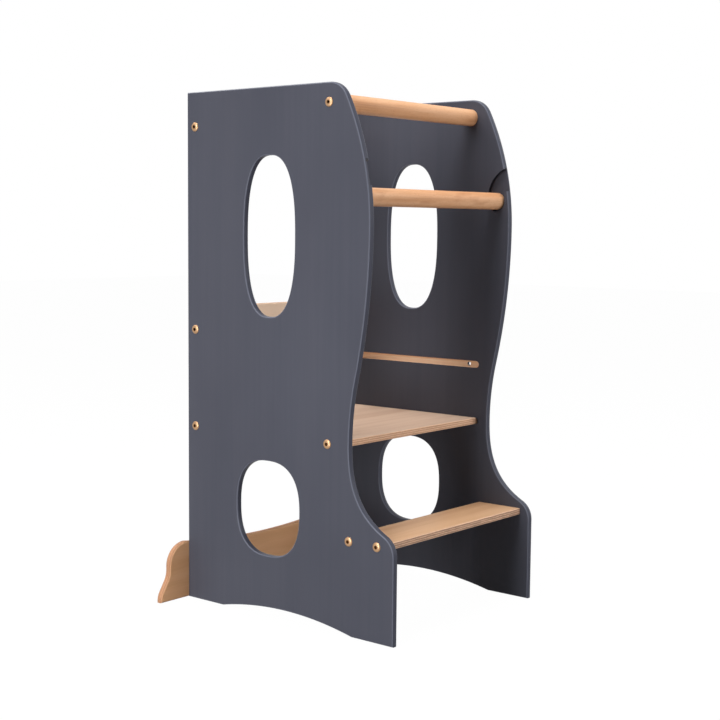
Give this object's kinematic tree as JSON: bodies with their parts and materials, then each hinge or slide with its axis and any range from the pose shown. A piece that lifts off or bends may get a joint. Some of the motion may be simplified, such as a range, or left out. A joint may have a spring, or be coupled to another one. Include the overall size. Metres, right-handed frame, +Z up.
{
  "type": "toddler kitchen helper stool",
  "caption": "Tall child's step stool: two painted plywood sides with oval windows carry a platform, a step, round rails and a lift-out safety bar.",
  "frame": {"origin": "on the floor, under the middle of the stool's bounding box", "axes": "+X to the right seen from the step, +Y from the step to the back, +Z up"},
  "size_m": [0.5374, 0.4824, 0.9],
  "materials": {
    "panel_paint": "satin grey paint on plywood",
    "bare_ply": "clear matt lacquer on birch plywood",
    "beech": "clear matt lacquer on beech",
    "bolt_brass": "satin",
    "zinc_steel": "zinc plated"
  },
  "bodies": {
    "stool": {"left_side_panel": "panel_paint", "right_side_panel": "panel_paint", "standing_platform": "bare_ply", "front_step": "bare_ply", "back_board": "bare_ply", "stabiliser_board": "bare_ply", "front_top_rail": "beech", "rear_top_rail": "beech", "front_rail_bolts": "bolt_brass", "rear_rail_bolts": "bolt_brass", "back_board_bolts": "bolt_brass", "platform_bolts": "bolt_brass", "step_bolts": "bolt_brass", "front_rail_inserts": "zinc_steel", "rear_rail_inserts": "zinc_steel", "back_board_nuts": "zinc_steel", "platform_nuts": "zinc_steel", "step_nuts": "zinc_steel", "back_board_dowels": "beech", "stabiliser_screws": "zinc_steel"},
    "safety_bar": {"safety_bar": "beech"}
  },
  "joints": [
    {"name": "safety_bar_lift", "type": "hinge", "parent": "stool", "child": "safety_bar", "pos_m": [0, -0.19555, 0.724], "axis": [1, 0, 0], "range_deg": [0, 130]}
  ]
}
